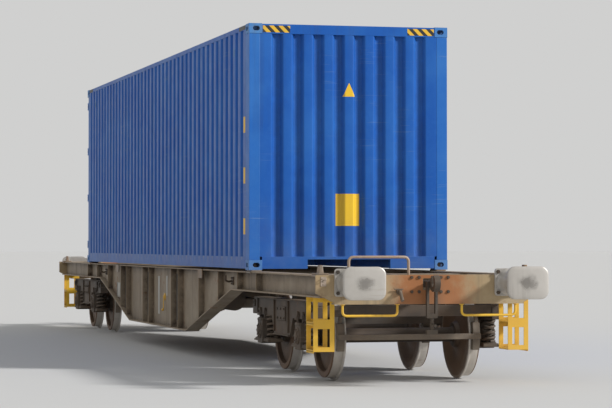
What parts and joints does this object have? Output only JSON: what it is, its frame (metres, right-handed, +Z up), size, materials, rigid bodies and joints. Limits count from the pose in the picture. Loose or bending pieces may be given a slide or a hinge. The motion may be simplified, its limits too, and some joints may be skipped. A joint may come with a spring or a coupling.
{
  "type": "container flatcar with container",
  "caption": "Skeletal bogie flatcar with fish-belly side sills, carrying one blue corrugated high-cube container on its spigots.",
  "frame": {"origin": "below the wagon's middle, level with the wheel flanges' lowest points; the rail top is at Z = 0.028", "axes": "+X towards the front end (the near end in the picture, and the container's closed end), +Y to the left, +Z up"},
  "size_m": [19.74, 2.48, 4.0789],
  "materials": {
    "underframe": "weathered paint with dust and rust",
    "headstock": "worn paint, rusted",
    "spigot_steel": "worn steel",
    "buffer_steel": "worn and greased",
    "hook_steel": "oily forged steel",
    "yellow_paint": "worn gloss paint",
    "brake_gear": "dusty black",
    "bogie_black": "brake dust over black paint",
    "spring_steel": "brake dust over black paint",
    "wheel_steel": "rusted web with bright tread",
    "container_blue": "satin paint with light wear",
    "casting_blue": "painted cast steel",
    "galvanised": "galvanised",
    "floor_ply": "oiled plywood"
  },
  "bodies": {
    "wagon": {"left_side_sill": "underframe", "right_side_sill": "underframe", "front_headstock": "headstock", "rear_headstock": "headstock", "centre_sills": "underframe", "body_bolsters": "underframe", "cross_beams": "underframe", "container_spigots": "spigot_steel", "front_buffers": "buffer_steel", "rear_buffers": "buffer_steel", "front_draw_hook": "hook_steel", "rear_draw_hook": "hook_steel", "corner_steps": "yellow_paint", "end_rails": "headstock", "shunter_handles": "yellow_paint", "air_reservoir": "brake_gear", "brake_cylinder": "brake_gear", "brake_pipe": "brake_gear", "corner_castings": "casting_blue", "left_side_wall": "container_blue", "right_side_wall": "container_blue", "front_end_wall": "container_blue", "container_roof": "container_blue", "bottom_side_rails": "container_blue", "top_side_rails": "container_blue", "container_floor": "floor_ply", "floor_cross_members": "container_blue", "front_corner_posts": "container_blue", "front_header_and_sill": "container_blue", "rear_corner_posts": "container_blue", "rear_header_and_sill": "container_blue"},
    "front_bogie": {"front_bogie_frame": "bogie_black", "front_bogie_axle_boxes": "bogie_black", "front_bogie_springs": "spring_steel", "front_bogie_brakes": "brake_gear"},
    "rear_bogie": {"rear_bogie_frame": "bogie_black", "rear_bogie_axle_boxes": "bogie_black", "rear_bogie_springs": "spring_steel", "rear_bogie_brakes": "brake_gear"},
    "front_inner_wheelset": {"front_inner_wheelset": "wheel_steel"},
    "front_outer_wheelset": {"front_outer_wheelset": "wheel_steel"},
    "rear_inner_wheelset": {"rear_inner_wheelset": "wheel_steel"},
    "rear_outer_wheelset": {"rear_outer_wheelset": "wheel_steel"},
    "left_door": {"left_door": "container_blue", "left_door_lock_rods": "galvanised"},
    "right_door": {"right_door": "container_blue", "right_door_lock_rods": "galvanised"}
  },
  "joints": [
    {"name": "front_bogie_swivel", "type": "hinge", "parent": "wagon", "child": "front_bogie", "pos_m": [7.1, 0, 0.873], "axis": [0, 0, 1], "range_deg": [-5.5, 5.5]},
    {"name": "rear_bogie_swivel", "type": "hinge", "parent": "wagon", "child": "rear_bogie", "pos_m": [-7.1, 0, 0.873], "axis": [0, 0, -1], "range_deg": [-5.5, 5.5]},
    {"name": "front_inner_axle", "type": "hinge", "parent": "front_bogie", "child": "front_inner_wheelset", "pos_m": [6.2, 0, 0.488], "axis": [0, 1, 0], "continuous": true},
    {"name": "front_outer_axle", "type": "hinge", "parent": "front_bogie", "child": "front_outer_wheelset", "pos_m": [8, 0, 0.488], "axis": [0, 1, 0], "continuous": true},
    {"name": "rear_inner_axle", "type": "hinge", "parent": "rear_bogie", "child": "rear_inner_wheelset", "pos_m": [-6.2, 0, 0.488], "axis": [0, 1, 0], "continuous": true},
    {"name": "rear_outer_axle", "type": "hinge", "parent": "rear_bogie", "child": "rear_outer_wheelset", "pos_m": [-8, 0, 0.488], "axis": [0, 1, 0], "continuous": true},
    {"name": "left_door_hinge", "type": "hinge", "parent": "wagon", "child": "left_door", "pos_m": [-6.085, 1.208, 2.583], "axis": [0, 0, -1], "range_deg": [0, 270]},
    {"name": "right_door_hinge", "type": "hinge", "parent": "wagon", "child": "right_door", "pos_m": [-6.085, -1.208, 2.583], "axis": [0, 0, 1], "range_deg": [0, 270]}
  ]
}
